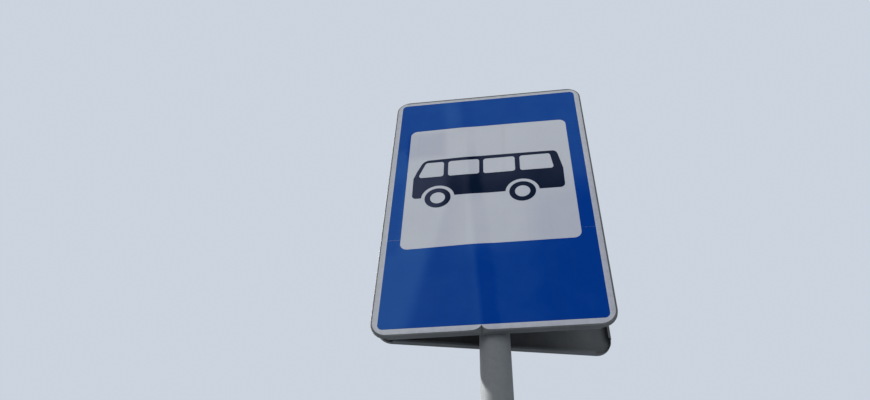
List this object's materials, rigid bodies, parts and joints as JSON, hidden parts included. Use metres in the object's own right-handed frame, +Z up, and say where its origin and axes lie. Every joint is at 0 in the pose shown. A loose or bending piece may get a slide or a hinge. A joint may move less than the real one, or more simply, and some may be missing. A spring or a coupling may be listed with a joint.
{
  "type": "bus stop sign with post",
  "caption": "Double-sided road sign on a round steel post with a bolted foot: folded steel plates with a blue field, white window and black bus figure, strapped back to back.",
  "frame": {"origin": "on the ground, at the post's axis, on the foot plate's underside", "axes": "+Z up along the post; the front plate is read by someone who looks along +Y, with +X to their right"},
  "size_m": [0.6142, 0.3, 2.9184],
  "materials": {
    "post_zinc": "weathered hot-dip zinc, matt, with dust and rain marks",
    "foot_zinc": "weathered hot-dip zinc, matt, with rust at welds and edges",
    "cap_plastic": "matt",
    "plate_steel": "grey coated sheet steel, satin, scuffed at the folds",
    "rail_steel": "zinc-coated, dull",
    "strap_steel": "zinc-coated, dull",
    "bolt_zinc": "zinc-coated, slightly rusted",
    "white_film": "retroreflective sheeting, weathered, semi-gloss",
    "blue_film": "coloured sheeting, semi-gloss",
    "black_film": "coloured sheeting, semi-gloss"
  },
  "bodies": {
    "root": {"base_plate": "foot_zinc", "base_gusset_1": "foot_zinc", "base_gusset_2": "foot_zinc", "base_gusset_3": "foot_zinc", "base_gusset_4": "foot_zinc", "post": "post_zinc", "post_cap": "cap_plastic", "front_plate": "plate_steel", "front_white_film": "white_film", "front_blue_film": "blue_film", "front_figure_body": "black_film", "front_figure_wheels": "black_film", "front_rail_upper": "rail_steel", "front_strap_upper": "strap_steel", "front_bolts_upper": "bolt_zinc", "front_rail_lower": "rail_steel", "front_strap_lower": "strap_steel", "front_bolts_lower": "bolt_zinc", "rear_plate": "plate_steel", "rear_white_film": "white_film", "rear_blue_film": "blue_film", "rear_figure_body": "black_film", "rear_figure_wheels": "black_film", "rear_rail_upper": "rail_steel", "rear_strap_upper": "strap_steel", "rear_bolts_upper": "bolt_zinc", "rear_rail_lower": "rail_steel", "rear_strap_lower": "strap_steel", "rear_bolts_lower": "bolt_zinc"}
  },
  "joints": []
}
